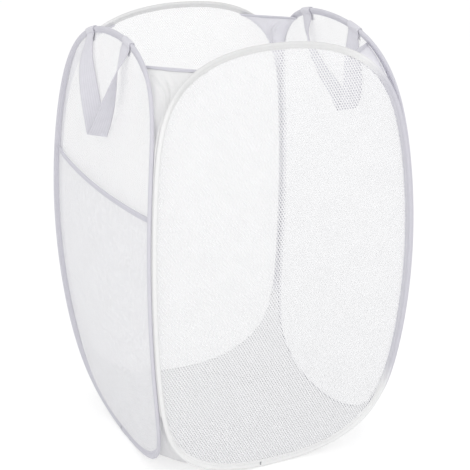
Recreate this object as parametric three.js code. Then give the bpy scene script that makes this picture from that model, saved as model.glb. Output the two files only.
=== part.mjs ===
// Pop up laundry hamper. Four see-through mesh panels, each kept open by a spring wire hoop that
// runs in a folded tape binding. Cloth gussets join the panels along the corners, a cloth base
// joins them below, the left panel carries a side pocket, and two panels carry webbing handles.
// Millimetres, +Z up. The origin is on the floor under the middle of the base. The front panel
// faces -Y, the right one +X. Every panel is drawn as the front one and turned about Z.
import * as THREE from 'three';

// Hoops: the wire's centre line, seen from the front, is a rounded rectangle that bows outwards
const panel_height = 575;
const panel_place = 184.5; // from the middle of the hamper to the wire, at half height
const panel_bow = 32.5; // how far the wire falls back towards the middle at top and bottom
const panel_flare = 1.1; // the top stands out this much more than half height, the bottom less
const side_set_in = 5; // a hoop's side stops this far short of its neighbour's wire
const hoop_width_power = 2.2;
const hoop_height_power = 8;
const steps_per_half_hoop = 24;
const turn_weight = 95; // adds this length for each radian of bend, so that corners get more steps

// Wire and ferrule
const wire_radius = 0.8;
const wire_end_gap = 1;
const ferrule_length = 18;
const ferrule_inner_radius = 1.15;
const ferrule_outer_radius = 1.5;

// Folded tape binding: a round sleeve on the wire, and two legs that hold the mesh
const binding_width = 8.7;
const binding_radius = 2.6;
const binding_tape = 0.55;
const binding_mouth = 1.1; // between the two legs
const corner_twist = Math.PI / 4; // at the sides the tape stands out along the corner's diagonal
const corner_twist_power = 6;

// Mesh panels
const mesh_thickness = 0.5;
const mesh_grip = 2.5; // how far the mesh reaches in between the binding's legs
const mesh_bend_step = 0.9; // from the binding's mouth to where the mesh lies flat

// Corner gussets and their bound rims
const clearance = 0.3; // between pieces that are sewn together
const web_thickness = 0.6;
const gusset_drop = 25.5; // from the top of the hoops to its upper edge
const gusset_foot = 108; // where a corner of the base takes over
const gusset_top = panel_height - gusset_drop;
const gusset_columns = 6;
const gusset_fold_depth = 2.4;
const gusset_fold_count = 2.5;
const gusset_fold_height = 95; // the folds die out this far below the rim
const gusset_fold_lean = 1.2; // turns by which the folds slant on their way down
const rim_width = 5.5;
const rim_tape = 0.5;
const rim_set_in = 2;

// Base cloth
const base_thickness = 0.8;
const base_rings = 6;
const base_flat_share = 0.46; // of the way to the hoops the cloth lies on the floor
const base_rise_power = 3.2;

// Side pocket on the left panel
const pocket_height = 382;
const pocket_sag = 3;
const pocket_gape = 10.5; // how far its mouth stands off the panel in the middle
const pocket_foot_step = 1.5; // between the pocket's edge and the tape's edge
const pocket_columns = 10;
const pocket_edge_width = 6.5;
const pocket_edge_tape = 0.5;
const pocket_edge_set_in = 0.6;

// Webbing handles: each end is folded over the hoop and sewn, and the loop swings below it
const strap_width = 25;
const strap_thickness = 1.2;
const handle_spacing = 130;
const wrap_leg = 12; // below the wire, on the side where the loop hangs
const wrap_tab = 15; // below the wire, on the other side
const hinge_drop = 0.4; // from the loop's hinge line to the loop's upper edges
const hinge_gap = 0.2;
const fold_turn_radius = 1.6; // of the turn at the loop's lowest point
const leg_spread = 34; // pulls a loop's legs apart just above the fold
const handle_steps = 10;
const strap_columns = 4; // across a loop, so that its faces stay apart where it turns
const fold_turn_steps = 4;
// side: 1 hangs outside, -1 inside. shift: of its two ends. skew: how far the fold hangs aside.
// rest: between the panel and the fold's nearer end. turn: of the strap from first end to fold.
const left_handle = { side: 1, shift: -16, skew: 28, drop: 108, rest: 4, turn: 0.38 * Math.PI };
const right_handle = { side: -1, shift: -2, skew: -48, drop: 101, rest: 1.5, turn: -0.42 * Math.PI };

// Finishes
const white_mesh = { color: 0xf4f4f6, roughness: 0.8, metalness: 0, transparent: true, opacity: 0.45 };
const grey_tape = { color: 0xe4e4e4, roughness: 0.75, metalness: 0 };
const lavender_tape = { color: 0xd0cfd8, roughness: 0.75, metalness: 0 };
const white_cloth = { color: 0xe2e2e4, roughness: 0.85, metalness: 0 };
const webbing = { color: 0xd5d4dc, roughness: 0.7, metalness: 0 };
const spring_steel = { color: 0x9a9c9f, roughness: 0.35, metalness: 0.9 };

const vec = (x, y, z) => new THREE.Vector3(x, y, z);
const at = (origin, ...terms) => {
  const point = origin.clone();
  for (let i = 0; i < terms.length; i += 2) point.addScaledVector(terms[i + 1], terms[i]);
  return point;
};
const bell = (share) => Math.sin(Math.PI * share);

// A closed body from rings of points. All rings have as many points, in the same order.
function skin(rings, looped) {
  const size = rings[0].length;
  const triangles = [];
  const bands = looped ? rings.length : rings.length - 1;
  for (let i = 0; i < bands; i++) {
    const here = i * size;
    const next = ((i + 1) % rings.length) * size;
    for (let j = 0; j < size; j++) {
      const k = (j + 1) % size;
      triangles.push(here + j, here + k, next + k, here + j, next + k, next + j);
    }
  }
  if (!looped) {
    triangles.push(...capTriangles(rings[0], 0, true));
    triangles.push(...capTriangles(rings.at(-1), (rings.length - 1) * size, false));
  }
  return solid(rings.flat(), triangles);
}

// Triangles that close one end of a skin, found in the plane that the ring lies in
function capTriangles(ring, offset, reversed) {
  const middle = ring.reduce((sum, p) => sum.add(p), vec(0, 0, 0)).divideScalar(ring.length);
  const normal = vec(0, 0, 0);
  ring.forEach((p, i) => {
    const a = p.clone().sub(middle);
    normal.add(a.cross(ring[(i + 1) % ring.length].clone().sub(middle)));
  });
  normal.normalize();
  const first = ring[1].clone().sub(ring[0]).projectOnPlane(normal).normalize();
  const second = normal.clone().cross(first);
  const flat = ring.map((p) => {
    const from_middle = p.clone().sub(middle);
    return new THREE.Vector2(from_middle.dot(first), from_middle.dot(second));
  });
  const faces = THREE.ShapeUtils.triangulateShape(flat, []);
  return faces.flatMap((face) => (reversed ? face.reverse() : face)).map((corner) => offset + corner);
}

// A geometry from points and triangles, turned inside out if its faces point inwards
function solid(points, triangles) {
  let volume = 0;
  for (let i = 0; i < triangles.length; i += 3) {
    const [a, b, c] = [points[triangles[i]], points[triangles[i + 1]], points[triangles[i + 2]]];
    volume += a.dot(b.clone().cross(c));
  }
  const faces = volume < 0 ? triangles.map((_, i) => triangles[i - (i % 3) + [0, 2, 1][i % 3]]) : triangles;
  const geometry = new THREE.BufferGeometry();
  geometry.setAttribute('position', new THREE.Float32BufferAttribute(points.flatMap((p) => p.toArray()), 3));
  geometry.setIndex(faces);
  return geometry;
}

// A thin sheet from a grid of points, thickened by half its thickness to both sides
function sheet(grid, thickness) {
  const rows = grid.length;
  const columns = grid[0].length;
  const normals = grid.map((row, i) => row.map((_, j) => {
    const along = grid[Math.min(i + 1, rows - 1)][j].clone().sub(grid[Math.max(i - 1, 0)][j]);
    const across = row[Math.min(j + 1, columns - 1)].clone().sub(row[Math.max(j - 1, 0)]);
    return across.cross(along).normalize();
  }));
  const side = (amount) => grid.flatMap((row, i) => row.map((p, j) => at(p, amount, normals[i][j])));
  const points = [...side(thickness / 2), ...side(-thickness / 2)];
  const back = rows * columns;
  const triangles = [];
  for (let i = 0; i + 1 < rows; i++) {
    for (let j = 0; j + 1 < columns; j++) {
      const a = i * columns + j;
      const [b, c, d] = [a + 1, a + columns + 1, a + columns];
      triangles.push(a, b, c, a, c, d, back + a, back + c, back + b, back + a, back + d, back + c);
    }
  }
  const border = [];
  for (let j = 0; j < columns - 1; j++) border.push(j);
  for (let i = 0; i < rows - 1; i++) border.push(i * columns + columns - 1);
  for (let j = columns - 1; j > 0; j--) border.push((rows - 1) * columns + j);
  for (let i = rows - 1; i > 0; i--) border.push(i * columns);
  border.forEach((a, i) => {
    const b = border[(i + 1) % border.length];
    triangles.push(a, back + b, b, a, back + a, back + b);
  });
  return solid(points, triangles);
}

// The wire's centre line on the right half of the front hoop, by a share from -1, the middle of
// its foot, to 1, the middle of its top
function hoopPoint(share) {
  const rise = Math.sign(share) * (1 - (1 - Math.abs(share)) ** 3);
  const width_share = (1 - Math.abs(rise) ** hoop_height_power) ** (1 / hoop_width_power);
  const out = panelPlace(rise);
  const point = vec(width_share * (out - side_set_in), -out, hoopHeight(rise));
  return { point, rise, width_share };
}

function panelPlace(rise) {
  return panel_place - panel_bow * rise ** 2 + panel_flare * rise;
}

const rise_height = panel_height / 2 - binding_radius;
const hoopHeight = (rise) => panel_height / 2 + rise * rise_height;

// Steps along the half hoop, closer together where it bends
function halfHoop() {
  const fine = 600;
  const dense = [];
  for (let i = 0; i <= fine; i++) dense.push(hoopPoint((2 * i) / fine - 1));
  const measure = [0];
  for (let i = 1; i <= fine; i++) {
    const step = dense[i].point.clone().sub(dense[i - 1].point);
    const before = i > 1 ? dense[i - 1].point.clone().sub(dense[i - 2].point) : step;
    measure.push(measure[i - 1] + step.length() + turn_weight * step.angleTo(before));
  }
  const picked = [];
  for (let i = 0; i <= steps_per_half_hoop; i++) {
    const goal = (measure[fine] * i) / steps_per_half_hoop;
    let j = 1;
    while (j < fine && measure[j] < goal) j++;
    const share = (goal - measure[j - 1]) / (measure[j] - measure[j - 1]);
    picked.push(hoopPoint((2 * (j - 1 + share)) / fine - 1));
  }
  return picked;
}

// Stations round the whole hoop, anticlockwise from the middle of its foot. Each has directions:
// out, away from the hoop's middle, and face, to the outside of the hamper. Both follow the tape.
function hoopStations() {
  const right = halfHoop();
  const left = right.slice(1, -1).reverse().map((s) => (
    { ...s, point: vec(-s.point.x, s.point.y, s.point.z), width_share: -s.width_share }));
  const all = [...right, ...left];
  return all.map((station, i) => {
    const along = all[(i + 1) % all.length].point.clone().sub(all.at(i - 1).point).normalize();
    const slope = (2 * panel_bow * station.rise - panel_flare) / rise_height;
    const panel_face = vec(0, -1, slope).normalize();
    const in_panel = along.clone().cross(panel_face).normalize();
    const twist = corner_twist * Math.abs(station.width_share) ** corner_twist_power;
    const out = at(vec(0, 0, 0), Math.cos(twist), in_panel, Math.sin(twist), panel_face);
    const face = at(vec(0, 0, 0), Math.cos(twist), panel_face, -Math.sin(twist), in_panel);
    return { ...station, along, out, face, in_panel, panel_face };
  });
}

const hoop = hoopStations();
const hoop_size = hoop.length;
const leg_end = -(binding_width - binding_radius); // the legs' inner ends, from the wire
const leg_face = binding_mouth / 2 + binding_tape;

// A point of the tape's own section at a station: a outwards from the wire, b to the outside
const tapePoint = (station, a, b) => at(station.point, a, station.out, b, station.face);

// The same between two stations, by a number of stations that need not be whole
function tapePointAt(place, a, b) {
  const low = Math.floor(place);
  const first = tapePoint(hoop.at(low % hoop_size), a, b);
  const second = tapePoint(hoop.at((low + 1) % hoop_size), a, b);
  return first.lerp(second, place - low);
}

const arc = (radius, angles) => angles.map((t) => [radius * Math.cos(t), radius * Math.sin(t)]);
const round_angles = [-115, -57.5, 0, 57.5, 115].map(THREE.MathUtils.degToRad);

function hoopWire() {
  const sides = 6;
  const ring = (place) => arc(wire_radius, [...Array(sides)].map((_, i) => (2 * Math.PI * i) / sides))
    .map(([a, b]) => tapePointAt(place, a, b));
  const first_step = hoop[0].point.distanceTo(hoop[1].point);
  const start = wire_end_gap / 2 / first_step;
  const rings = [ring(start)];
  for (let i = 1; i < hoop_size; i++) rings.push(ring(i));
  rings.push(ring(hoop_size - start));
  return skin(rings, false);
}

// A crimp tube over the wire's two ends. Its wall is swept round its own section.
function hoopFerrule() {
  const sides = 8;
  const reach = ferrule_length / 2 / hoop[0].point.distanceTo(hoop[1].point);
  const places = [hoop_size - reach, hoop_size, hoop_size + reach];
  const rings = [...Array(sides)].map((_, i) => {
    const [a, b] = arc(1, [(2 * Math.PI * i) / sides])[0];
    const line = (radius) => places.map((place) => tapePointAt(place, radius * a, radius * b));
    return [...line(ferrule_outer_radius), ...line(ferrule_inner_radius).reverse()];
  });
  return skin(rings, true);
}

function hoopBinding() {
  const section = [
    [leg_end, -leg_face],
    ...arc(binding_radius, round_angles),
    [leg_end, leg_face],
    [leg_end, binding_mouth / 2],
    ...arc(binding_radius - binding_tape, [...round_angles].reverse()),
    [leg_end, -binding_mouth / 2],
  ];
  return skin(hoop.map((station) => section.map(([a, b]) => tapePoint(station, a, b))), true);
}

// The mesh leaves the tape's mouth and turns flat. Across the panel it runs straight, row by row.
const flat_from = leg_end - mesh_bend_step;

function meshFace(offset) {
  const gripped = hoop.map((s) => tapePoint(s, leg_end + mesh_grip, offset));
  const free = hoop.map((s) => {
    const between = s.face.clone().add(s.panel_face).normalize();
    return at(tapePoint(s, flat_from, 0), offset / between.dot(s.panel_face), between);
  });
  return [...gripped, ...free];
}

function meshPanel() {
  const points = [...meshFace(mesh_thickness / 2), ...meshFace(-mesh_thickness / 2)];
  const back = 2 * hoop_size;
  const triangles = [];
  const both = (a, b, c) => triangles.push(a, b, c, back + a, back + c, back + b);
  for (let i = 0; i < hoop_size; i++) {
    const j = (i + 1) % hoop_size;
    both(i, j, hoop_size + j);
    both(i, hoop_size + j, hoop_size + i);
    triangles.push(i, back + j, j, i, back + i, back + j);
  }
  const free = (i) => hoop_size + (i % hoop_size);
  for (let i = 0; i < steps_per_half_hoop; i++) {
    const [right, right_up] = [free(i), free(i + 1)];
    const [left, left_up] = [free(hoop_size - i), free(hoop_size - i - 1)];
    if (right_up !== left_up) both(right, right_up, left_up);
    if (right !== left) both(right, left_up, left);
  }
  return solid(points, triangles);
}

// Where cloth is sewn to a panel: just inside the tape, a given distance off the mesh's middle,
// outwards or, if it is negative, towards the inside of the hamper
function sewnEdge(place, off, further_in = 0) {
  const [low, high] = [hoop[Math.floor(place) % hoop_size], hoop[(Math.floor(place) + 1) % hoop_size]];
  const between = (name) => low[name].clone().lerp(high[name], place % 1).normalize();
  return at(tapePointAt(place, flat_from, 0), off, between('panel_face'), -further_in, between('in_panel'));
}

// The place on the right half of the hoop where its sewn edge is at this height
function placeAtHeight(height) {
  let [low, high] = [0, steps_per_half_hoop];
  while (high - low > 1e-9) {
    const middle = (low + high) / 2;
    if (sewnEdge(middle, 0).z < height) low = middle;
    else high = middle;
  }
  return low;
}

const web_off = -(mesh_thickness / 2 + clearance + web_thickness / 2);
const mirrored = (p) => vec(-p.y, -p.x, p.z); // across the front right corner
const outwards = vec(1, -1, 0).normalize(); // along that corner's diagonal

// Whole stations between two places, with the places themselves, from the higher to the lower
function placesDown(high, low, least_step) {
  const places = [high];
  for (let i = Math.floor(high - least_step); i > low + least_step; i--) places.push(i);
  return [...places, low];
}

// Folds of the slack gusset: none at its rim and edges, deepest a little below the rim
function gussetFold(depth_below, across) {
  const down = Math.min(depth_below / gusset_fold_height, 1);
  const slant = gusset_fold_lean * down;
  const wave = Math.sin(2 * Math.PI * (gusset_fold_count * across + slant) / 2);
  return gusset_fold_depth * wave * bell(across) * bell(Math.sqrt(down));
}

function gussetGrid() {
  const places = placesDown(placeAtHeight(gusset_top), placeAtHeight(gusset_foot), 1 / 2);
  return places.map((place) => {
    const edge = sewnEdge(place, web_off);
    const row = [];
    for (let j = 0; j <= gusset_columns; j++) {
      const share = j / gusset_columns;
      const point = edge.clone().lerp(mirrored(edge), share);
      row.push(at(point, gussetFold(gusset_top - edge.z, share), outwards));
    }
    return row;
  });
}

const gusset_grid = gussetGrid();
const cornerGusset = () => sheet(gusset_grid, web_thickness);

// Tape folded over an edge, open downwards. path: points of the edge. down: the cloth's own
// direction below the edge. half: half the cloth's thickness.
function edgeTape(path, down, half, width, tape) {
  const inner = half + clearance;
  const outer = inner + tape;
  const leg = width - clearance - tape;
  const section = [[-leg, -outer], [clearance + tape, -outer], [clearance + tape, outer], [-leg, outer],
    [-leg, inner], [clearance, inner], [clearance, -inner], [-leg, -inner]];
  const rings = path.map((p, i) => {
    const next = path[Math.min(i + 1, path.length - 1)];
    const along = next.clone().sub(path[Math.max(i - 1, 0)]).normalize();
    const up = down[i].clone().negate();
    const face = along.clone().cross(up).normalize();
    return section.map(([h, n]) => at(p, h, up, n, face));
  });
  return skin(rings, false);
}

// Points along a row of cloth with both ends drawn in
function drawnIn(row, distance) {
  const moved = (from, to) => from.clone().lerp(to, distance / from.distanceTo(to));
  return [moved(row[0], row[1]), ...row.slice(1, -1), moved(row.at(-1), row.at(-2))];
}

function gussetRim() {
  const down = gusset_grid[1].map((p, j) => p.clone().sub(gusset_grid[0][j]).normalize());
  return edgeTape(drawnIn(gusset_grid[0], rim_set_in), down, web_thickness / 2, rim_width, rim_tape);
}

// The base is one dished sheet. Its edge follows the four hoops and climbs into the corners.
function baseCloth() {
  const top = placeAtHeight(gusset_foot - clearance - web_thickness);
  const side = [];
  for (let i = 0; i < top - 1 / 2; i++) side.push(sewnEdge(i, web_off));
  side.push(sewnEdge(top, web_off));
  const corner = [...side, ...side.slice(1).reverse().map(mirrored)];
  const edge = [0, 1, 2, 3].flatMap((turn) => corner.map((p) => (
    p.clone().applyAxisAngle(vec(0, 0, 1), (turn * Math.PI) / 2))));
  const size = edge.length;
  const middle_height = base_thickness / 2;
  const rings = [...Array(base_rings + 1)].map((_, i) => edge.map((p) => {
    const share = THREE.MathUtils.lerp(base_flat_share, 1, i / base_rings);
    const climb = (i / base_rings) ** base_rise_power;
    return vec(p.x * share, p.y * share, THREE.MathUtils.lerp(middle_height, p.z, climb));
  }));
  const normals = rings.map((ring, i) => ring.map((p, j) => {
    if (i === 0) return vec(0, 0, 1);
    const round = ring[(j + 1) % size].clone().sub(ring.at(j - 1));
    const inward = rings[i - 1][j].clone().sub(rings[Math.min(i + 1, base_rings)][j]);
    return round.cross(inward).normalize();
  }));
  const face = (half) => [vec(0, 0, middle_height + half),
    ...rings.flatMap((ring, i) => ring.map((p, j) => at(p, half, normals[i][j])))];
  const points = [...face(base_thickness / 2), ...face(-base_thickness / 2)];
  const back = points.length / 2;
  const triangles = [];
  const both = (a, b, c) => triangles.push(a, b, c, back + a, back + c, back + b);
  const id = (ring, j) => 1 + ring * size + (j % size);
  for (let j = 0; j < size; j++) {
    both(0, id(0, j), id(0, j + 1));
    for (let i = 0; i < base_rings; i++) {
      both(id(i, j), id(i + 1, j), id(i + 1, j + 1));
      both(id(i, j), id(i + 1, j + 1), id(i, j + 1));
    }
    const [a, b] = [id(base_rings, j), id(base_rings, j + 1)];
    triangles.push(a, back + a, back + b, a, back + b, b);
  }
  return solid(points, triangles);
}

// The pocket's cloth lies on the panel at its foot, and stands off it at its mouth, where the
// edge tape has to pass between the two
function pocketGrid() {
  const places = placesDown(placeAtHeight(pocket_height), 1, 1 / 2).reverse();
  return places.map((place) => {
    const up = Math.sin((Math.PI / 2) * Math.min(tapePointAt(place, 0, 0).z / pocket_height, 1));
    const off = mesh_thickness + clearance + (clearance + pocket_edge_tape) * up ** 2;
    const right = sewnEdge(place, off, pocket_foot_step);
    const left = vec(-right.x, right.y, right.z);
    const row = [];
    for (let j = 0; j <= pocket_columns; j++) {
      const share = j / pocket_columns;
      const point = left.clone().lerp(right, share);
      const swell = bell(share) ** (2 / 3) * up;
      row.push(vec(point.x, point.y - pocket_gape * swell, point.z - pocket_sag * bell(share) * up));
    }
    return row;
  });
}

const pocket_grid = pocketGrid();
const sidePocket = () => sheet(pocket_grid, mesh_thickness);

function pocketEdge() {
  const [below, mouth] = pocket_grid.slice(-2);
  const down = below.map((p, j) => p.clone().sub(mouth[j]).normalize());
  const path = drawnIn(mouth, pocket_edge_set_in);
  return edgeTape(path, down, mesh_thickness / 2, pocket_edge_width, pocket_edge_tape);
}

// The place on the upper half of the hoop where the wire is this far to the right of its middle
function placeAcross(distance) {
  const top = steps_per_half_hoop;
  let [low, high] = [top / 2, top + top / 2];
  while (high - low > 1e-9) {
    const middle = (low + high) / 2;
    if (tapePointAt(middle, 0, 0).x > distance) low = middle;
    else high = middle;
  }
  return low;
}

// A handle's end: the strap runs over the tape, and its tab is sewn to the mesh on the other side
function handleWrap(handle, end) {
  const across = handle.shift + (end * handle_spacing) / 2;
  const [start, stop] = [placeAcross(across + strap_width / 2), placeAcross(across - strap_width / 2)];
  const places = [start];
  for (let i = Math.ceil(start); i < stop; i++) places.push(i);
  places.push(stop);
  const inner = binding_radius + clearance;
  const outer = inner + strap_thickness;
  const angles = [80, 40, 0, -40, -80].map(THREE.MathUtils.degToRad);
  const tab = mesh_thickness / 2 + clearance;
  const past_leg = leg_face + clearance;
  const section = [
    [-wrap_leg, outer],
    ...arc(outer, angles),
    [leg_end, -(past_leg + strap_thickness)],
    [-wrap_tab, -(tab + strap_thickness)],
    [-wrap_tab, -tab],
    [leg_end - clearance, -past_leg],
    ...arc(inner, [...angles].reverse()),
    [-wrap_leg, inner],
  ];
  const rings = places.map((p) => section.map(([a, b]) => tapePointAt(p, a, handle.side * b)));
  return skin(rings, false);
}

// Where a handle's hinge line passes its two ends, in the front panel's frame
const hinge_stand_off = binding_radius + clearance + 1.5 * strap_thickness + hinge_gap;

function hingeEnds(handle) {
  return [-1, 1].map((end) => {
    const place = placeAcross(handle.shift + (end * handle_spacing) / 2);
    return tapePointAt(place, -wrap_leg, handle.side * hinge_stand_off);
  });
}

// How far out a loop's centre line hangs, so that its nearer edge stays clear of the mesh
function hangPlace(handle, hinge, height, turned, share) {
  const meshPlace = (z) => -sewnEdge(placeAtHeight(z), 0).y;
  const gap = THREE.MathUtils.lerp(handle.side * (-hinge.y - meshPlace(hinge.z)), handle.rest, share);
  return meshPlace(height) + handle.side * (gap + (strap_width / 2) * Math.abs(Math.sin(turned)));
}

// One leg of a loop, from a point of its hinge line down to the fold, with its turn at each point
function handleLeg(handle, hinge, fold_x, fold_z, from_turn, to_turn) {
  const down = vec(0, 0, -1);
  const fold = vec(fold_x, hinge.y, fold_z);
  const apart = vec(Math.sign(hinge.x - fold_x), 0, 0);
  const third = handle.drop / 3;
  const curve = new THREE.CubicBezierCurve3(at(hinge, hinge_drop, down), at(hinge, third, down),
    at(fold, -third, down, leg_spread, apart), fold);
  return curve.getPoints(handle_steps).map((point, i) => {
    const share = i / handle_steps;
    const turned = THREE.MathUtils.lerp(from_turn, to_turn, share);
    return { point: point.setY(-hangPlace(handle, hinge, point.z, turned, share)), turned };
  });
}

// The loop: a flat strap that leaves one end downwards, turns on itself, folds over at the
// bottom and comes back up to the other end
function handleLoop(handle) {
  const [first, last] = hingeEnds(handle);
  const fold_x = (first.x + last.x) / 2 + handle.skew;
  const fold_z = (first.z + last.z) / 2 - handle.drop;
  const full_turn = Math.sign(handle.turn) * Math.PI;
  const one = handleLeg(handle, first, fold_x - fold_turn_radius, fold_z, 0, handle.turn);
  const two = handleLeg(handle, last, fold_x + fold_turn_radius, fold_z, full_turn, handle.turn);
  const hangs = at(one.at(-1).point, -1, one.at(-2).point).setX(0).normalize();
  const bottom = [...Array(fold_turn_steps + 1)].map((_, i) => {
    const angle = (Math.PI * i) / fold_turn_steps;
    const point = one.at(-1).point.clone().lerp(two.at(-1).point, (1 - Math.cos(angle)) / 2);
    return { point: at(point, fold_turn_radius * Math.sin(angle), hangs), turned: handle.turn, hangs };
  });
  const path = [...one.slice(0, -1), ...bottom, ...two.slice(0, -1).reverse()];
  const across = [...Array(strap_columns + 1)].map((_, i) => (i / strap_columns - 1 / 2) * strap_width);
  const section = [...across.map((a) => [a, -strap_thickness / 2]),
    ...[...across].reverse().map((a) => [a, strap_thickness / 2])];
  const rings = path.map(({ point, turned, hangs: leg = null }, i) => {
    const along = at(path[Math.min(i + 1, path.length - 1)].point, -1, path[Math.max(i - 1, 0)].point);
    if (i === 0 || i === path.length - 1) along.set(0, 0, Math.sign(along.z));
    along.normalize();
    const wide = vec(Math.cos(turned), handle.side * Math.sin(turned), 0);
    wide.addScaledVector(leg ?? along, -wide.dot(leg ?? along)).normalize();
    const thick = along.clone().cross(wide).normalize();
    return section.map(([a, b]) => at(point, a, wide, b, thick));
  });
  return skin(rings, false);
}

const hamper = new THREE.Group();
const quarter = Math.PI / 2;

function add(parent, name, geometry, finish) {
  const material = new THREE.MeshStandardMaterial({ ...finish, side: THREE.DoubleSide });
  const mesh = new THREE.Mesh(geometry, material);
  mesh.name = name;
  parent.add(mesh);
}

// Everything that belongs to one panel, drawn as the front one
function addPanel(name, turns, tape) {
  const panel = new THREE.Group();
  panel.rotation.z = turns * quarter;
  add(panel, `${name}_hoop_wire`, hoopWire(), spring_steel);
  add(panel, `${name}_wire_ferrule`, hoopFerrule(), spring_steel);
  add(panel, `${name}_hoop_binding`, hoopBinding(), tape);
  add(panel, `${name}_mesh_panel`, meshPanel(), white_mesh);
  hamper.add(panel);
  return panel;
}

// A corner's cloth, drawn at the front right corner
function addCorner(name, turns) {
  const corner = new THREE.Group();
  corner.rotation.z = turns * quarter;
  add(corner, `${name}_gusset`, cornerGusset(), white_cloth);
  add(corner, `${name}_gusset_rim`, gussetRim(), lavender_tape);
  hamper.add(corner);
}

function addHandle(panel, name, handle) {
  add(panel, `${name}_handle_loop`, handleLoop(handle), webbing);
  add(panel, `${name}_handle_end_a`, handleWrap(handle, -1), webbing);
  add(panel, `${name}_handle_end_b`, handleWrap(handle, 1), webbing);
}

addPanel('front', 0, grey_tape);
const right_panel = addPanel('right', 1, lavender_tape);
addPanel('back', 2, grey_tape);
const left_panel = addPanel('left', 3, lavender_tape);
addCorner('front_right', 0);
addCorner('back_right', 1);
addCorner('back_left', 2);
addCorner('front_left', 3);
add(hamper, 'base_cloth', baseCloth(), white_cloth);
add(left_panel, 'side_pocket', sidePocket(), white_mesh);
add(left_panel, 'side_pocket_edge', pocketEdge(), lavender_tape);
addHandle(left_panel, 'left', left_handle);
addHandle(right_panel, 'right', right_handle);

export default hamper;
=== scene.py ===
"""Pop up laundry hamper: mesh panels on spring wire hoops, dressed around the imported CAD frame."""

import math

import bpy
import numpy as np
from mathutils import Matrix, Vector


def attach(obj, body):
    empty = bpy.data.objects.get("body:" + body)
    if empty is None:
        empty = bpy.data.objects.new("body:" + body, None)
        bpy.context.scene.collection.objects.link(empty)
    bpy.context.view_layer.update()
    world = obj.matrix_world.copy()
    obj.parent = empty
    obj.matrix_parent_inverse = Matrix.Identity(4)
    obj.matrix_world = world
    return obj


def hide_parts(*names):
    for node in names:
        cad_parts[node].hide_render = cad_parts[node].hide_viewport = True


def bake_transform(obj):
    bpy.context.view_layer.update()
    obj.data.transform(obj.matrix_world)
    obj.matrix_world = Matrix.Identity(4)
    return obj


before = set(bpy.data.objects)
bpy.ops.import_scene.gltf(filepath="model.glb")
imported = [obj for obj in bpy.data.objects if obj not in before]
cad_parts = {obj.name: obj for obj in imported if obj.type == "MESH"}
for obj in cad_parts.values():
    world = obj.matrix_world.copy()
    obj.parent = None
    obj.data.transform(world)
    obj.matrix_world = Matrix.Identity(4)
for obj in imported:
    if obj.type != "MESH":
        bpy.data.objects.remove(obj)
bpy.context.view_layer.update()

# Dimensions in millimetres, as in the part's source
panel_height = 575
panel_place = 184.5
panel_bow = 32.5
panel_flare = 1.1
side_set_in = 5
hoop_width_power = 2.2
hoop_height_power = 8
turn_weight = 95
binding_width = 8.7
binding_radius = 2.6
binding_tape = 0.55
binding_mouth = 1.1
corner_twist = math.pi / 4
corner_twist_power = 6
mesh_thickness = 0.5
mesh_grip = 2.5
mesh_bend_step = 0.9
clearance = 0.3
web_thickness = 0.6
gusset_top = panel_height - 25.5
gusset_foot = 108
gusset_fold_depth = 2.4
gusset_fold_count = 2.5
gusset_fold_height = 95
gusset_fold_lean = 1.2
rim_width = 5.5
rim_tape = 0.5
rim_set_in = 2
gusset_split_width = 12
base_thickness = 0.8
base_flat_share = 0.46
base_rise_power = 3.2
pocket_height = 382
pocket_sag = 3
pocket_gape = 10.5
pocket_foot_step = 1.5
pocket_edge_width = 6.5
pocket_edge_tape = 0.5
pocket_edge_set_in = 0.6
strap_width = 25
strap_thickness = 1.2
handle_spacing = 130
wrap_leg = 12
wrap_tab = 15
hinge_gap = 0.2
hinge_drop = 0.4
fold_turn_radius = 1.6
leg_spread = 34
left_handle = {"side": 1, "shift": -16, "skew": 28, "drop": 108, "rest": 4, "turn": 0.38 * math.pi}
right_handle = {"side": -1, "shift": -2, "skew": -48, "drop": 101, "rest": 1.5, "turn": -0.42 * math.pi}

leg_end = -(binding_width - binding_radius)
leg_face = binding_mouth / 2 + binding_tape
flat_from = leg_end - mesh_bend_step
web_off = -(mesh_thickness / 2 + clearance + web_thickness / 2)

# Dimensions in millimetres that only the dressed model has
sleeve_angle = 118  # degrees from the tape's outer edge to where its legs begin
leg_dips = ((-2.6, 0), (-3.7, 0.05), (-4.5, 0.28), (-5.3, 0.16), (leg_end, 0.36))  # place, depth
leg_mouth = -3.6  # where the tape's legs close on the mesh
leg_press = 0.1
seam_place = -4.5  # of the tape's line of stitches, in the dip
seam_sink = 0.24
ripples = ((0.16, 9.0, 1.0), (0.1, 4.1, 2.0))  # height, length and shift of the legs' wavy ends
ripple_from = -3.0
foot_margin = 2.6  # the outer leg's further reach at the foot
foot_margin_height = 60
foot_margin_power = 0.7
lap_middle = -13  # from the middle of the foot
lap_length = 15
lap_proud = 0.34
lap_scale = 1.03
tack_bars = 14
tack_margin = 0.3
tack_top = -1.2
tack_shift = 1.5
tack_reach = 0.1
tack_width = 1.4
tack_rise = 0.4  # over the tape's face
tack_rise_on_wire = 1.2
tack_lean = 0.25
tack_length = 1.9
tack_radius = 0.3
gusset_creases = (  # start, lean, width and depth
    (0.00, 1.5, 0.055, -3.6), (0.17, 1.5, 0.05, -4.4), (0.37, 1.5, 0.06, -3.4), (0.80, 0.3, 0.07, -1.4))
opening_bulge = 8.2  # by which the narrow part of an opening corner stands out between the tapes
closing_bulge = 5.0
bulge_from = 24  # the cloth's width where it starts to stand out
bulge_full = 9
strip_overlap = 1.4
strip_fade = 14
tip_share = 0.975  # of half an edge, where the hoops' cloth ends and the base's corner begins
base_lift = 1.0  # by which the cloth over an overlap is raised
base_lift_share = 0.12  # of half the base, over which it rises
base_overlap = 0.03  # by which the closing corners' cloth runs under, as a share of half an edge
base_chord = 0.95  # where the opening corners' cloth ends, in the same share, past the middle
base_gather = 0.15  # how far the closing corners' tips draw together
base_gather_length = 0.45
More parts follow.
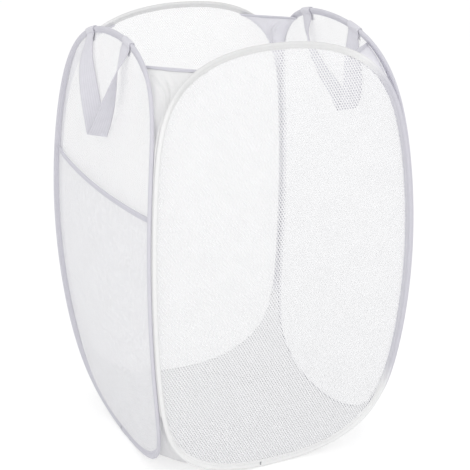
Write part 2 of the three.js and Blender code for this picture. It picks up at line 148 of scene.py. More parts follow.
edge_seam_share = 0.62  # of a rim tape's leg, down to its stitches
edge_seam_sink = 0.1
pocket_foot_place = 6.25  # in the hoop's stations
pocket_gape_power = 2 / 3
wrap_back = (  # place, share of the climb onto the tape, and stand off
    (-wrap_tab, 0, 0.5), (-13.2, 0, 0.15), (-11.0, 0, 0), (-9.0, 0.3, 0), (-7.6, 0.8, 0),
    (leg_end, 1, 0), (-4.6, 1, 0.1))
wrap_front = (  # place and stand off
    (-3.2, 0.75), (-4.6, 0.2), (-6.4, 0.05), (-8.4, 0.15), (-10.4, 0.5), (-wrap_leg, 1.0))
wrap_round = (-118, 112)  # degrees round the hoop
tab_gap = 0.15
wrap_gap = 0.1
strap_columns = 13
ease_rows = 8  # over which a leg runs into its sewn end
strap_seams = ((-5.0, -10.4), (-8.0, -13.2))  # the stitched box's top and foot, outside and inside
strap_seam_rise = (0.2, 0.25)  # over the strap, outside and inside
strap_seam_margin = 2.2
dash_pitch = 3.0
dash_length = 2.3
dash_radius = 0.28
dash_step = 0.5
strap_dash = {"length": 2.0, "radius": 0.3}
strap_dash_pitch = 2.6
dash_profile = ((-0.5, 0.0), (-0.4, 0.75), (0, 1), (0.4, 0.75), (0.5, 0.0))  # place and thickness
dash_bow = 0.6

# How finely things are drawn
HALF = 150  # stations on half a hoop
MM = 0.001
MEASURES = 4001  # points at which half a hoop is measured
DASH_SIDES = 5


# Small maths
def unit(v):
    return v / np.maximum(np.linalg.norm(v, axis=-1, keepdims=True), 1e-12)


def lerp(a, b, share):
    return a + (b - a) * share


def eased(share):
    """A share from 0 to 1 that starts and ends gently."""
    return share * share * (3 - 2 * share)


def turned(points, turns):
    """Points turned by quarter turns about Z."""
    p = np.array(points, float)
    for _ in range(turns % 4):
        p = np.stack([-p[..., 1], p[..., 0], p[..., 2]], -1)
    return p


def mirrored(p):
    """Across the front right corner."""
    return np.stack([-p[..., 1], -p[..., 0], p[..., 2]], -1)


def lengths_along(points):
    """The distance along a line of points to each of them."""
    steps = np.linalg.norm(np.diff(points, axis=0), axis=1)
    return np.concatenate([[0], np.cumsum(steps)])


def sampled(values, measure, where):
    """Points, given at the distances in measure, read at the distances in where."""
    return np.stack([np.interp(where, measure, values[:, k]) for k in range(3)], -1)


# The hoop
def hoop_line(share):
    """The wire's middle line on the right side of the front panel, from share -1 at its foot to 1."""
    rise = np.sign(share) * (1 - (1 - np.abs(share)) ** 3)
    width = (1 - np.abs(rise) ** hoop_height_power) ** (1 / hoop_width_power)
    out = panel_place - panel_bow * rise**2 + panel_flare * rise
    high = panel_height / 2 + rise * (panel_height / 2 - binding_radius)
    return np.stack([width * (out - side_set_in), -out, high], -1), rise, width


def hoop_stations():
    """Stations round the hoop of the front panel, from the middle of its foot up its right side."""
    fine = np.linspace(-1, 1, MEASURES)
    points = hoop_line(fine)[0]
    steps = np.diff(points, axis=0)
    turn = np.arccos(np.clip((unit(steps[1:]) * unit(steps[:-1])).sum(1), -1, 1))
    measure = np.linalg.norm(steps, axis=1) + turn_weight * np.concatenate([[0], turn])
    measure = np.concatenate([[0], np.cumsum(measure)])
    share = np.interp(np.linspace(0, measure[-1], HALF + 1), measure, fine)
    up_and_down = [*range(HALF + 1), *range(HALF - 1, 0, -1)]
    points, rise, width = (values[up_and_down] for values in hoop_line(share))
    points[HALF + 1 :, 0] *= -1
    along = unit(np.roll(points, -1, 0) - np.roll(points, 1, 0))
    slope = (2 * panel_bow * rise - panel_flare) / (panel_height / 2 - binding_radius)
    panel_face = unit(np.stack([0 * slope, -1 + 0 * slope, slope], -1))
    in_panel = unit(np.cross(along, panel_face))
    twist = (corner_twist * np.abs(width) ** corner_twist_power)[:, None]
    out = np.cos(twist) * in_panel + np.sin(twist) * panel_face
    face = np.cos(twist) * panel_face - np.sin(twist) * in_panel
    around = lengths_along(np.concatenate([points, points[:1]]))
    return {"point": points, "out": out, "face": face, "in_panel": in_panel,
            "panel_face": panel_face, "around": around}


hoop = hoop_stations()
ROUND = 2 * HALF


def at(name, place):
    """A value of the hoop between stations."""
    place = np.asarray(place, float)
    low = np.floor(place).astype(int)
    share = (place - low)[..., None]
    return lerp(hoop[name][low % ROUND], hoop[name][(low + 1) % ROUND], share)


def tape(place, a, b):
    """A point of the tape's section: a outwards from the wire, b to the outside of the hamper."""
    a, b = np.asarray(a, float)[..., None], np.asarray(b, float)[..., None]
    return at("point", place) + a * at("out", place) + b * at("face", place)


def sewn(place, off, further_in=0.0):
    """Where cloth is sewn to a panel, just inside the tape."""
    off, further_in = np.asarray(off, float)[..., None], np.asarray(further_in, float)[..., None]
    return (tape(place, flat_from, 0) + off * unit(at("panel_face", place))
            - further_in * unit(at("in_panel", place)))


sewn_heights = sewn(np.arange(HALF + 1), 0)[:, 2]
upper_places = np.arange(HALF // 2, HALF + HALF // 2 + 1)
upper_across = at("point", upper_places)[:, 0]


def place_at_height(height):
    return np.interp(height, sewn_heights, np.arange(HALF + 1))


def place_across(distance):
    """The place on the upper half of the hoop that is this far to the right of its middle."""
    return np.interp(-np.asarray(distance, float), -upper_across, upper_places)


def place_around(distance):
    """The place on the hoop at this distance from the middle of its foot, below 0 to the left."""
    return np.interp(np.asarray(distance, float) % hoop["around"][-1], hoop["around"], np.arange(ROUND + 1))


# Meshes
def placed(name, data):
    """An object of the scene that holds this data."""
    obj = bpy.data.objects.new(name, data)
    bpy.context.scene.collection.objects.link(obj)
    return obj


def mesh_object(name, points, faces, coords, material, smooth=40):
    """An object from points in millimetres, faces, and each face corner's place on the cloth in metres.

    Points that coincide are joined. The second result says which of the given points are kept.
    """
    points = np.asarray(points, float).reshape(-1, 3)
    _, first, where = np.unique(np.round(points, 4), axis=0, return_index=True, return_inverse=True)
    order = np.argsort(first)
    rank = np.empty_like(order)
    rank[order] = np.arange(len(order))
    where = rank[where.reshape(-1)]
    kept_faces, kept_coords = [], []
    for face, uv in zip(faces, coords):
        corners = [where[v] for v in face]
        keep = [k for k in range(len(corners)) if corners[k] != corners[k - 1]]
        if len(keep) >= 3:
            kept_faces.append([int(corners[k]) for k in keep])
            kept_coords.extend(uv[k] for k in keep)
    mesh = bpy.data.meshes.new(name)
    mesh.from_pydata((points[first[order]] * MM).tolist(), [], kept_faces)
    values = np.zeros((len(kept_coords), 3), np.float32)
    values[:, :2] = np.array(kept_coords, float).reshape(-1, 2)
    cloth = mesh.attributes.new("cloth", "FLOAT_VECTOR", "CORNER")
    cloth.data.foreach_set("vector", values.ravel())
    mesh.polygons.foreach_set("use_smooth", [True] * len(mesh.polygons))
    if smooth:
        mesh.set_sharp_from_angle(angle=math.radians(smooth))
    mesh.materials.append(material)
    return placed(name, mesh), first[order]


def grid_faces(rows, columns, coords, loop_rows=False, loop_columns=False, flip=False):
    """Faces of a grid of points, and where each corner of a face lies on the cloth."""
    faces, uvs = [], []
    for i in range(rows if loop_rows else rows - 1):
        for j in range(columns if loop_columns else columns - 1):
            four = [(i, j), (i, j + 1), (i + 1, j + 1), (i + 1, j)]
            if flip:
                four.reverse()
            faces.append([(r % rows) * columns + (c % columns) for r, c in four])
            uvs.append([coords[r, c] for r, c in four])
    return faces, uvs


def sheet_object(name, grid, coords, material, flip=False):
    """A sheet of cloth from rows of points. coords: each point's place on the flat cloth in metres."""
    faces, uvs = grid_faces(*grid.shape[:2], coords, flip=flip)
    return mesh_object(name, grid, faces, uvs, material, smooth=0)


def on_cloth(x, y):
    """Places on the flat cloth in metres, from what lies across and along it in millimetres."""
    return np.stack(np.broadcast_arrays(x, y), -1) * MM


def sleeve(name, rings, along, section, material, closed=True, turns=0):
    """A body from rings of points, closed to a loop or capped. along: the distance of each ring."""
    rings = turned(rings, turns)
    count, size = rings.shape[:2]
    if not closed:
        along = np.append(along, along[-1])
    coords = on_cloth(along[:, None], lengths_along(np.concatenate([section, section[:1]])))
    faces, uvs = grid_faces(count, size, coords, closed, True)
    if not closed:
        faces += [list(range(size))[::-1], [(count - 1) * size + k for k in range(size)]]
        uvs += [[coords[0, k] for k in range(size)][::-1], [coords[count - 1, k] for k in range(size)]]
    obj, kept = mesh_object(name, rings, faces, uvs, material)
    outside_out(obj)
    return obj, kept


def outside_out(obj):
    """Turns a closed body's faces outwards."""
    mesh = obj.data
    mesh.calc_loop_triangles()
    co = np.array([v.co for v in mesh.vertices])
    tri = np.array([t.vertices for t in mesh.loop_triangles])
    a, b, c = co[tri[:, 0]], co[tri[:, 1]], co[tri[:, 2]]
    if (a * np.cross(b, c)).sum() < 0:
        mesh.flip_normals()


def stitches(name, centres, directions, normals, material, length=dash_length, radius=dash_radius):
    """Short thread dashes, each a slim capsule half sunk in the cloth. Round it counts as a metre."""
    angles = np.linspace(0, 2 * math.pi, DASH_SIDES, endpoint=False)
    shape = np.array([[(place * length, size * radius * math.cos(t), size * radius * math.sin(t))
                       for t in angles] for place, size in dash_profile])
    directions, normals = unit(directions), unit(normals)
    beside = unit(np.cross(directions, normals))
    coords = on_cloth(shape[:, :1, 0], np.linspace(0, 1 / MM, DASH_SIDES + 1))
    dash_faces, dash_uvs = grid_faces(len(shape), DASH_SIDES, coords, loop_columns=True)
    points, faces, uvs = [], [], []
    for k in range(len(centres)):
        bow = (1 - (shape[..., 0] / (length / 2)) ** 2) * radius * dash_bow
        p = (centres[k] + shape[..., :1] * directions[k] + shape[..., 1:2] * beside[k]
             + (shape[..., 2:] + bow[..., None]) * normals[k])
        offset = len(points) * shape.shape[0] * DASH_SIDES
        points.append(p.reshape(-1, 3))
        faces += [[offset + v for v in face] for face in dash_faces]
        uvs += dash_uvs
    return mesh_object(name, np.concatenate(points), faces, uvs, material, smooth=0)


def dashes(line, normal, pitch=dash_pitch):
    """Evenly spaced stitches along a line of points: centres, directions, normals, shares of the way."""
    measure = lengths_along(line)
    count = max(1, int(measure[-1] / pitch))
    where = (np.arange(count) + 0.5) * measure[-1] / count
    ahead, behind = (sampled(line, measure, where + step) for step in (dash_step, -dash_step))
    return (sampled(line, measure, where), unit(ahead - behind), unit(sampled(normal, measure, where)),
            where / measure[-1])


def joined(lines, turns):
    """The centres, directions and normals of several lines of dashes, turned to their panel."""
    return [turned(np.concatenate([line[k] for line in lines]), turns) for k in range(3)]


def dressed(obj, body, slot, *nodes):
    """Ties a piece to its body, and hides the nodes that it stands for. Its slot, the name of its material,
    is not used.
    """
    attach(obj, body)
    if nodes:
        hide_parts(*nodes)


# Materials
class Nodes:
    """A short way to write the nodes of a new material or world."""

    def __init__(self, name, owners=bpy.data.materials):
        self.owner = owners.new(name)
        self.owner.use_nodes = True
        self.tree = self.owner.node_tree
        self.tree.nodes.clear()

    def add(self, kind, settings=(), **inputs):
        node = self.tree.nodes.new(kind)
        for key, value in dict(settings).items():
            setattr(node, key, value)
        for key, value in inputs.items():
            self.set(node.inputs[key.replace("_", " ")], value)
        return node

    def set(self, socket, value):
        if isinstance(value, bpy.types.NodeSocket):
            self.tree.links.new(value, socket)
        else:
            socket.default_value = value

    def result(self, kind, settings, values, inputs=(0, 1, 2), output=0):
        """What a node gives whose inputs, named by number, take these values."""
        node = self.add(kind, settings)
        for k, value in zip(inputs, values):
            self.set(node.inputs[k], value)
        return node.outputs[output]

    def math(self, operation, a, b=0.0):
        return self.result("ShaderNodeMath", {"operation": operation}, (a, b))

    def times(self, a, b):
        return self.math("MULTIPLY", a, b)

    def plus(self, a, b):
        return self.math("ADD", a, b)

    def vector(self, operation, a, b=(0, 0, 0)):
        return self.result("ShaderNodeVectorMath", {"operation": operation}, (a, b))

    def ramp(self, value, low, high, to_low=0.0, to_high=1.0):
        node = self.add("ShaderNodeMapRange", {"clamp": True, "interpolation_type": "SMOOTHSTEP"},
                        Value=value, From_Min=low, From_Max=high, To_Min=to_low, To_Max=to_high)
        return node.outputs["Result"]

    def mix(self, share, a, b):
        return self.result("ShaderNodeMix", {"data_type": "RGBA"}, (share, a, b), (0, 6, 7), 2)

    def mix_shaders(self, share, a, b):
        return self.result("ShaderNodeMixShader", (), (share, a, b))

    def shader(self, kind, **inputs):
        return self.add(kind, **inputs).outputs[0]

    def surface(self, base, height, strength, depth, **inputs):
        """The plain shader, with a bump from height of this depth in millimetres."""
        bump = self.add("ShaderNodeBump", Strength=strength, Distance=depth * MM, Height=height)
        return self.shader("ShaderNodeBsdfPrincipled", Base_Color=base, Normal=bump.outputs[0], **inputs)

    def seen(self):
        """1 where a surface is looked at, directly, in a mirror or through something, and 0 for its light."""
        path = self.add("ShaderNodeLightPath").outputs
        indirect = self.math("MAXIMUM", path["Is Glossy Ray"], path["Is Transmission Ray"])
        return self.math("MAXIMUM", path["Is Camera Ray"], indirect)

    def cloth(self):
        """The place on the cloth in millimetres."""
        place = self.add("ShaderNodeAttribute", {"attribute_name": "cloth"}).outputs["Vector"]
        return self.vector("MULTIPLY", place, (1000, 1000, 1000))

    def noise(self, place, scale, detail=2.0):
        return self.add("ShaderNodeTexNoise", Vector=place, Scale=scale, Detail=detail).outputs["Fac"]

    def split(self, vector):
        return self.add("ShaderNodeSeparateXYZ", Vector=vector).outputs

    def finish(self, shader, output="ShaderNodeOutputMaterial"):
        self.add(output, Surface=shader)
        return self.owner


def colour(hexadecimal):
    """A linear colour from a hexadecimal one."""
    parts = [int(hexadecimal[i : i + 2], 16) / 255 for i in (0, 2, 4)]
    linear = [p / 12.92 if p <= 0.04045 else ((p + 0.055) / 1.055) ** 2.4 for p in parts]
    return (*linear, 1.0)


def shaded(hexadecimal, factor):
    return (*[min(1.0, part * factor) for part in colour(hexadecimal)[:3]], 1.0)


def two_tone(n, share, tint, dark, light):
    return n.mix(share, shaded(tint, dark), shaded(tint, light))


def woven(name, tint, along_pitch, across_pitch, depth, contrast, roughness=0.8, sheen=0.25,
          painted_shade_bands=(), through=0.0):
    """Cloth with threads both ways, over and under in turn. Lengths are in millimetres.

    Further tints are painted shade: darker bands where the cloth turns from the light, each with where
    along the cloth it starts and ends. through: how much light comes through the cloth.
    """
    n = Nodes(name)
    place = n.cloth()
    x, y, _ = n.split(place)
    phase_x = n.times(x, 2 * math.pi / along_pitch)
    phase_y = n.times(y, 2 * math.pi / across_pitch)
    over = n.times(n.math("SINE", phase_x), n.math("SINE", phase_y))
    rib = n.math("ABSOLUTE", n.math("SINE", n.times(phase_y, 0.5)))
    height = n.plus(n.times(over, 0.5), n.times(rib, 0.5))
    soft = n.noise(place, 0.09, 3.0)
    fine = n.noise(place, 1.9)
    share = n.plus(n.times(height, 0.6), n.times(soft, 0.4))
    share = n.ramp(share, 0.0, 0.9)
    dark, light = 1 - contrast, 1 + contrast * 0.4
    base = two_tone(n, share, tint, dark, light)
    # bands of painted shade along the cloth
    for other, start, end in painted_shade_bands:
        inside = n.times(n.ramp(x, start - painted_shade_fade, start + painted_shade_fade),
                        n.ramp(x, end + painted_shade_fade, end - painted_shade_fade))
        base = n.mix(inside, base, two_tone(n, share, other, dark, light))
    fuzz = n.plus(height, n.times(fine, 0.35))
    solid = n.surface(base, fuzz, 0.5, depth, Roughness=roughness, Specular_IOR_Level=0.25,
                      Sheen_Weight=sheen, Sheen_Roughness=0.4)
    if not through:
        return n.finish(solid)
    return n.finish(n.mix_shaders(through, solid, n.shader("ShaderNodeBsdfTranslucent", Color=base)))


def open_mesh(name, tint, pitch, hole_long, hole_wide, drift_rows):
    """Knitted mesh: slanting oval holes in staggered rows, clear through the cloth.

    pitch is in millimetres across the cloth, a hole's half length and half width are shares of it, and
    the rows wander by up to about drift_rows of themselves.
    """
    n = Nodes(name)
    place = n.cloth()
    drift = n.add("ShaderNodeTexNoise", Vector=place, Scale=mesh_drift_scale, Detail=1.0).outputs["Color"]
    drift = n.vector("MULTIPLY", n.vector("SUBTRACT", drift, (0.5, 0.5, 0.5)), (drift_rows, drift_rows, 0))
    cells = n.vector("ADD", n.vector("MULTIPLY", place, (1 / pitch, 1 / pitch / row_ratio, 0)), drift)
    cells = n.vector("ADD", cells, (40, 40, 0))
    near = []
    for shift in (0.0, 0.5):
        moved = n.vector("ADD", cells, (shift, shift, 0))
        inside = n.vector("SUBTRACT", n.vector("FRACTION", moved), (0.5, 0.5, 0))
        x, y, _ = n.split(inside)
        along = n.math("SUBTRACT", n.times(x, lean_cos / hole_long),
                       n.times(y, lean_sin * row_ratio / hole_long))
        across = n.plus(n.times(x, lean_sin / hole_wide),
                        n.times(y, lean_cos * row_ratio / hole_wide))
        near.append(n.plus(n.times(along, along), n.times(across, across)))
    distance = n.math("SQRT", n.math("MINIMUM", near[0], near[1]))
    cloth = n.ramp(distance, 1 - hole_edge, 1 + hole_edge)
    broad = n.noise(place, 0.03)
    fine = n.noise(place, 1.4)
    base = two_tone(n, n.ramp(broad, 0.3, 0.7), tint, 0.985, 1.01)
    base = n.mix(n.times(fine, 0.2), base, shaded(tint, 0.93))
    height = n.plus(n.ramp(distance, 1.0, 1.6), n.times(fine, 0.2))
    solid = n.surface(base, height, 0.3, 0.2, Roughness=0.75, Specular_IOR_Level=0.3,
                      Sheen_Weight=0.15, Sheen_Roughness=0.4)
    thin = n.mix_shaders(mesh_through, solid, n.shader("ShaderNodeBsdfTranslucent", Color=base))
    return n.finish(n.mix_shaders(cloth, n.shader("ShaderNodeBsdfTransparent"), thin))


def thread(name, tint):
    n = Nodes(name)
    x, y, _ = n.split(n.cloth())
    twist = n.math("SINE", n.plus(n.times(x, 9.0), n.times(y, 0.0063)))
    base = two_tone(n, n.ramp(twist, -1.0, 1.0), tint, 0.88, 1.05)
    return n.finish(n.surface(base, twist, 0.4, 0.1, Roughness=0.55))


def drawn_steel(name, tint):
    """Spring wire, with fine streaks left by the drawing."""
    n = Nodes(name)
    place = n.add("ShaderNodeTexCoord").outputs["Object"]
    streaks = n.noise(n.vector("MULTIPLY", place, (900, 900, 60)), 1.0, 3.0)
    base = two_tone(n, streaks, tint, 0.8, 1.1)
    rough = n.ramp(streaks, 0.2, 0.8, 0.28, 0.45)
    return n.finish(n.surface(base, streaks, 0.2, 0.02, Roughness=rough, Metallic=1.0))


painted_shade_fade = 30  # over which a tape's painted shade fades in and out, in millimetres
row_ratio = 1.65  # the holes' pitch up the cloth, as a share of that across it
lean_cos, lean_sin = 1 / math.hypot(1, row_ratio), row_ratio / math.hypot(1, row_ratio)
hole_edge = 0.14  # a hole's soft edge, as a share of its size
mesh_drift_scale = 0.045
mesh_through = 0.4
# Painted shade: the grey tape is drawn darker and cool up the hoop's right side, and a little darker over its
# top, where it turns from the light.
grey_tape = woven("grey_tape", "F0F0F0", 0.9, 1.3, 0.12, 0.08,
                  painted_shade_bands=(("D0CFD7", 215, 650), ("E3E3E3", 690, 960)))
# Painted shade: a darker, cool copy of the grey tape, for the side panels' tape, which turns from the light,
# and for the trims on the corners and the pocket.
lavender_tape = woven("lavender_tape", "D6D5DD", 0.9, 1.3, 0.12, 0.10)
webbing = woven("webbing", "E2E1E8", 1.7, 3.1, 0.35, 0.12)
grey_cloth = woven("gusset_grey_cloth", "F5F5F5", 0.7, 0.7, 0.06, 0.05, 0.7, 0.15, through=0.3)
# Painted shade: a cool tinted copy of the corners' cloth, for the corners turned from the light.
shade_tinted_cloth = woven("gusset_shade_tinted_cloth", "F3F2F8", 0.7, 0.7, 0.06, 0.05, 0.7, 0.15, through=0.25)
base_weave = woven("base_cloth_weave", "EFEFF0", 1.2, 1.2, 0.15, 0.05, 0.75, 0.15, through=0.15)
front_mesh = open_mesh("front_mesh", "FAFAFB", 3.7, 0.35, 0.27, 0.3)
side_mesh = open_mesh("side_mesh", "FCFCFD", 2.4, 0.36, 0.28, 2.0)
back_mesh = open_mesh("back_mesh", "FBFBFC", 2.6, 0.42, 0.32, 2.0)
pocket_mesh = open_mesh("pocket_mesh", "F7F7F9", 2.1, 0.33, 0.26, 1.6)
grey_thread = thread("grey_thread", "E2E2E2")
# Painted shade: a darker, cool copy of the grey thread, for the stitches on the tape with painted shade, on
# the corners' and pocket's trims, and on the straps.
shade_tinted_thread = thread("shade_tinted_thread", "CAC9D4")
# Painted shadow: the bar tack's thread is dark so that it stands for the shadow at the lapped tape's cut end.
shadow_tack_thread = thread("shadow_tack_thread", "A9A9AD")
steel = drawn_steel("spring_steel", "A2A4A7")


# Panels
def binding_section(proud=0.0):
    """The tape's section: a sleeve on the wire, and two legs grooved by the stitches that grip the mesh."""
    round_angles = np.radians(np.linspace(-sleeve_angle, sleeve_angle, 21))
    leg = [(a, leg_face - dip + proud) for a, dip in leg_dips]

    def arc(radius):
        return [(radius * math.cos(t), radius * math.sin(t)) for t in round_angles]

    grip = mesh_thickness / 2 - leg_press
    outer = [(a, -b) for a, b in reversed(leg)] + arc(binding_radius + proud) + leg
    inner = [(leg_end, grip), (leg_mouth, grip)] + arc(binding_radius - binding_tape)[::-1]
    inner += [(leg_mouth, -grip), (leg_end, -grip)]
    return np.array(outer + inner)


def add_binding(panel, turns, material, thread_material, slot):
    section = binding_section()
    places = np.arange(ROUND)
    ripple = sum(height * np.sin(hoop["around"][:-1] / length + shift * turns)
                 for height, length, shift in ripples)
    rings = []
    for i in places:
        a, b = section[:, 0].copy(), section[:, 1]
        low = max(0, 1 - hoop["point"][i][2] / foot_margin_height)
        stretch = ripple[i] - foot_margin * low**foot_margin_power
        legs = (a < ripple_from) & (b > 0)
        a[legs] += stretch * (a[legs] - ripple_from) / (leg_end - ripple_from)
        rings.append(tape(i, a, b))
    obj, _ = sleeve(f"{panel}_tape_binding", rings, hoop["around"], section, material, turns=turns)
    dressed(obj, f"{panel}_panel", slot, f"{panel}_hoop_binding")
    add_lap(panel, turns, material, slot)
    lines = []
    for side in (1, -1):
        line = tape(np.append(places, 0), seam_place, side * (leg_face - seam_sink))
        lines.append(dashes(line, side * np.concatenate([hoop["face"], hoop["face"][:1]])))
    dash, _ = stitches(f"{panel}_binding_stitches", *joined(lines, turns), thread_material)
    dressed(dash, f"{panel}_panel", slot)


def add_lap(panel, turns, material, slot):
    """The tape's own end, lapped over its start and held by a bar of close stitches."""
    section = binding_section(lap_proud)
    where = np.linspace(-lap_length / 2, lap_length / 2, 9) + lap_middle
    rings = np.array([tape(place, section[:, 0] * lap_scale, section[:, 1]) for place in place_around(where)])
    rings[..., 2] = np.maximum(rings[..., 2], 0)
    lap, _ = sleeve(f"{panel}_tape_lap", rings, where, section, material, closed=False, turns=turns)
    dressed(lap, f"{panel}_panel", slot)
    bars = []
    for side in (1, -1):
        for k, a in enumerate(np.linspace(leg_end + tack_margin, tack_top, tack_bars)):
            low = tack_shift if k % 2 else -tack_reach
            place = place_around(where[0] + np.array([low, tack_width - low]))
            rise = leg_face + (tack_rise if a < -binding_radius else tack_rise_on_wire)
            ends = tape(place, a, side * rise)
            bars.append((ends.mean(0)[None], (ends[1] - ends[0] + tack_lean * at("out", place[0]))[None],
                         side * at("face", place[0])[None]))
    # The bar is stitching; its dark thread is painted shadow at the tape's cut end.
    bar, _ = stitches(f"{panel}_lap_tack", *joined(bars, turns), shadow_tack_thread, tack_length, tack_radius)
    dressed(bar, f"{panel}_panel", slot)


def add_mesh(panel, turns, material):
    """The panel's cloth: straight rows from side to side, and its edge gripped by the tape."""
    places = np.arange(HALF + 1)
    right = tape(places, flat_from, 0)
    gripped = tape(places, leg_end + mesh_grip, 0)
    inner = right[:, None] * [(x, 1, 1) for x in np.linspace(-1, 1, 25)]
    rows = np.concatenate([gripped[:, None] * (-1, 1, 1), inner, gripped[:, None]], axis=1)
    up = np.repeat(lengths_along(right * (0, 1, 1))[:, None], rows.shape[1], axis=1)
    up[:, [0, -1]] += (gripped - right)[:, 2:]
    obj, _ = sheet_object(f"{panel}_mesh_cloth", turned(rows, turns), on_cloth(rows[..., 0], up), material)
    dressed(obj, f"{panel}_panel", "white_mesh", f"{panel}_mesh_panel")
    declare_sheet(obj)


def declare_sheet(obj):
    """Works out the size of obj's cut, what lies flat along its own threads; the size is not used."""
    mesh = obj.data
    area = sum(p.area for p in mesh.polygons)
    values = np.zeros(len(mesh.loops) * 3, np.float32)
    mesh.attributes["cloth"].data.foreach_get("vector", values)
    size = np.ptp(values.reshape(-1, 3), axis=0)[:2]
    width, length = (float(x) for x in size)
    length *= max(1, area / (width * length))


grey_trim = (grey_tape, grey_thread, "grey_tape")
# The side panels' trim is the grey trim's copy with painted shade.
shade_tinted_trim = (lavender_tape, shade_tinted_thread, "lavender_tape")
for panel, turns in (("front", 0), ("right", 1), ("back", 2), ("left", 3)):
    add_binding(panel, turns, *(shade_tinted_trim if turns % 2 else grey_trim))
    add_mesh(panel, turns, {"front": front_mesh, "back": back_mesh}.get(panel, side_mesh))
    for node in (f"{panel}_hoop_wire", f"{panel}_wire_ferrule"):
        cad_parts[node].data.materials.clear()
        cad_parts[node].data.materials.append(steel)


# Corners
def bend_with(obj):
    """Bakes the placement of cloth across a fold into its points."""
    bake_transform(obj)


def crease(across, down, start, lean, width, depth):
    """The depth of a pressed line that runs down the cloth from start, a share of its width."""
    off = across - start - lean * down
    return depth * np.exp(-((off / width) ** 2))


def gusset_grid(bulge, columns=41, rows=110):
    """Rows of a corner's cloth, from its rim to its foot. bulge: how far the narrow part stands out."""
    top, foot = place_at_height(gusset_top), place_at_height(gusset_foot - strip_overlap)
    grid = []
    for place in np.linspace(top, foot, rows):
        edge = sewn(place, web_off)
        across = np.linspace(0, 1, columns)[:, None]
        row = lerp(edge, mirrored(edge), across)
        down = min((gusset_top - edge[2]) / gusset_fold_height, 1)
        wave = np.sin(2 * math.pi * (gusset_fold_count * across + gusset_fold_lean * down) / 2)
        fold = gusset_fold_depth * wave * np.sin(math.pi * across) * math.sin(math.pi * math.sqrt(down))
        taut = np.sin(math.pi * across) ** 0.5 * min(down * 6, 1) * (1 - down) ** 0.5
        for line in gusset_creases:
            fold = fold + taut * crease(across, down, *line)
        apart = np.linalg.norm(row[-1] - row[0])
        closeness = np.clip((bulge_from - apart) / (bulge_from - bulge_full), 0, 1)
        closeness *= min((edge[2] - gusset_foot + strip_overlap) / strip_fade, 1) ** 0.7
        fold = fold + bulge * closeness * np.sin(math.pi * across)
        grid.append(row + fold * np.array([1, -1, 0]) / math.sqrt(2))
    return np.array(grid)


def edge_tape_rings(path, down, half, width, thickness):
    """Tape folded over an edge of cloth, with a rounded back: its rings, section and lines of dashes."""
    inner = half + clearance
    outer = inner + thickness
    leg = width - outer
    back = np.radians(np.linspace(-90, 90, 9))
    section = []
    for radius, angles in ((outer, back), (inner, back[::-1])):
        side = math.copysign(radius, angles[0])
        section += [(-leg, side)] + [(radius * math.cos(t), radius * math.sin(t)) for t in angles]
        section.append((-leg, -side))
    section = np.array(section) + (clearance + thickness - outer, 0)
    along = unit(np.gradient(path, axis=0))
    up = -unit(down)
    face = unit(np.cross(along, up))
    rings = (path[:, None] + section[None, :, :1] * up[:, None] + section[None, :, 1:] * face[:, None])
    lines = [dashes(path - leg * edge_seam_share * up + side * (outer - edge_seam_sink) * face, side * face)
             for side in (1, -1)]
    return rings, section, lines


def drawn_in(row, distance):
    """A row with its two ends drawn in, and where its points then lie, as shares of its length."""
    measure = lengths_along(row)
    where = np.linspace(distance, measure[-1] - distance, len(row))
    return sampled(row, measure, where), where / measure[-1]


corner_bodies = {
    "front_right": (0, "front_panel", "right_panel"),
    "back_right": (1, "back_right_corner", "back_panel"),
    "back_left": (2, "back_panel", "left_panel"),
    "front_left": (3, "left_panel", "front_panel"),
}


def bend_corner(obj):
    """Bakes the placement of a piece of a corner into its points."""
    bend_with(obj)


def add_gusset_cloth(name, corner, grid, top):
    """The part of a corner's cloth whose rows are given. top: how far its first row is below the rim."""
    rows, columns = grid.shape[:2]
    middle = grid[:, columns // 2]
    across = np.linalg.norm((grid - middle[:, None])[..., :2], axis=-1)
    across *= np.sign(np.arange(columns) - columns // 2)
    coords = on_cloth(across, top + lengths_along(middle)[:, None])
    # The front left corner faces the light; the other three take the cloth with painted shade.
    cloth = grey_cloth if corner == "front_left" else shade_tinted_cloth
    obj, kept = sheet_object(name, turned(grid, corner_bodies[corner][0]), coords, cloth, flip=True)
    bend_corner(obj)
    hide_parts(f"{corner}_gusset")
    return obj


def add_corner(corner):
    turns = corner_bodies[corner][0]
    grid = gusset_grid(opening_bulge if turns % 2 else closing_bulge)
    narrow = int(np.argmax(np.linalg.norm(grid[:, -1] - grid[:, 0], axis=1) < gusset_split_width))
    upper, lower = grid[: narrow + 1], grid[narrow:]
    cloth = add_gusset_cloth(f"{corner}_gusset_cloth", corner, upper, 0)
    below_rim = lengths_along(upper[:, upper.shape[1] // 2])[-1]
    strip = add_gusset_cloth(f"{corner}_seam_strip", corner, lower, below_rim)
    declare_sheet(strip)
    path, share = drawn_in(grid[0], rim_set_in)
    below = drawn_in(grid[1], rim_set_in)[0]
    rings, section, lines = edge_tape_rings(path, below - path, web_thickness / 2, rim_width, rim_tape)
    rim, kept = sleeve(f"{corner}_rim_tape", rings, lengths_along(path), section, lavender_tape,
                       closed=False, turns=turns)
    bend_corner(rim)
    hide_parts(f"{corner}_gusset_rim")
    dash, kept = stitches(f"{corner}_rim_stitches", *joined(lines, turns), shade_tinted_thread)
    bend_corner(dash)
    declare_sheet(cloth)


for corner in corner_bodies:
    add_corner(corner)


# Base
def base_edge(u, v):
    """The base's edge at a point of the unit square's outline."""
    if abs(v) >= abs(u):
        turns, t = (0, u) if v < 0 else (2, -u)
    else:
        turns, t = (1, v) if u > 0 else (3, -v)
    top = place_at_height(gusset_foot - clearance - web_thickness)
    size = abs(t)
    p = sewn(min(size / tip_share, 1.0) * top, web_off)
    if size > tip_share:
        middle = (p + mirrored(p)) / 2
        p = lerp(p, middle, (size - tip_share) / (1 - tip_share))
    if t < 0:
        p = p * (-1, 1, 1)
    return turned(p, turns)


